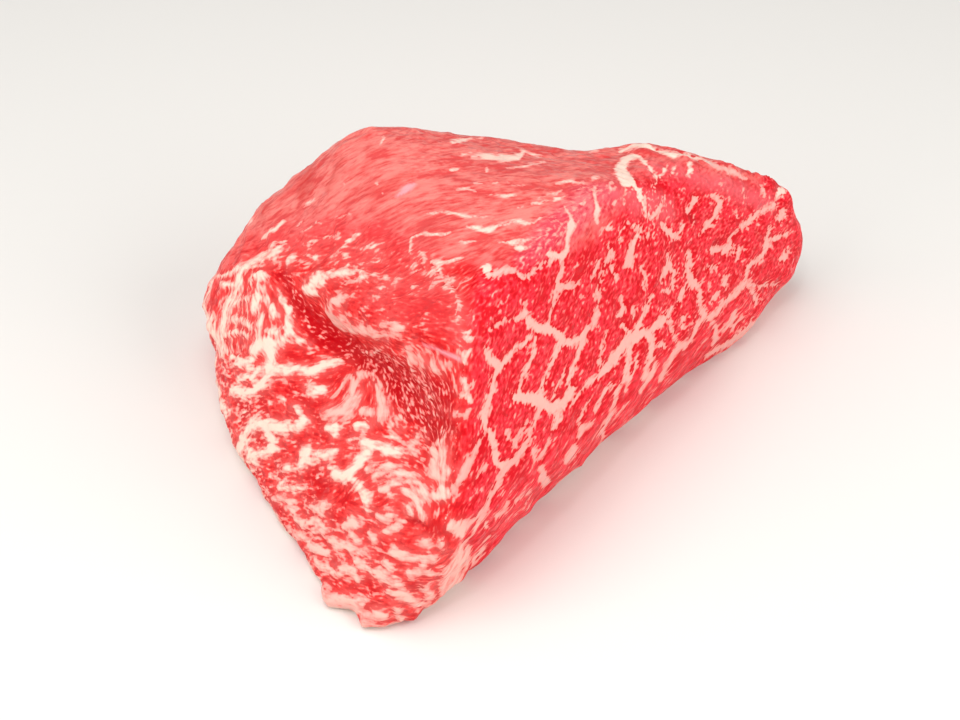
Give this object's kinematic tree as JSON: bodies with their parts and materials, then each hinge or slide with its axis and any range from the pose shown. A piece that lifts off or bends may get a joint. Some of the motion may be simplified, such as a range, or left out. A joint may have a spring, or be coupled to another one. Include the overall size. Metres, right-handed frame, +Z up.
{
  "type": "raw wagyu top round",
  "caption": "Wedge-shaped block of raw, well-marbled beef top round that rests on its flat underside.",
  "frame": {"origin": "middle of the footprint's box, on the surface that the block rests on", "axes": "+X along the long face cut across the grain, towards the tip; that face looks along -Y; +Z up"},
  "size_m": [0.1772, 0.1288, 0.0826],
  "materials": {
    "meat": "moist raw beef, red lean with cream marbling, satin with small glossy spots"
  },
  "bodies": {
    "root": {"meat": "meat"}
  },
  "joints": []
}
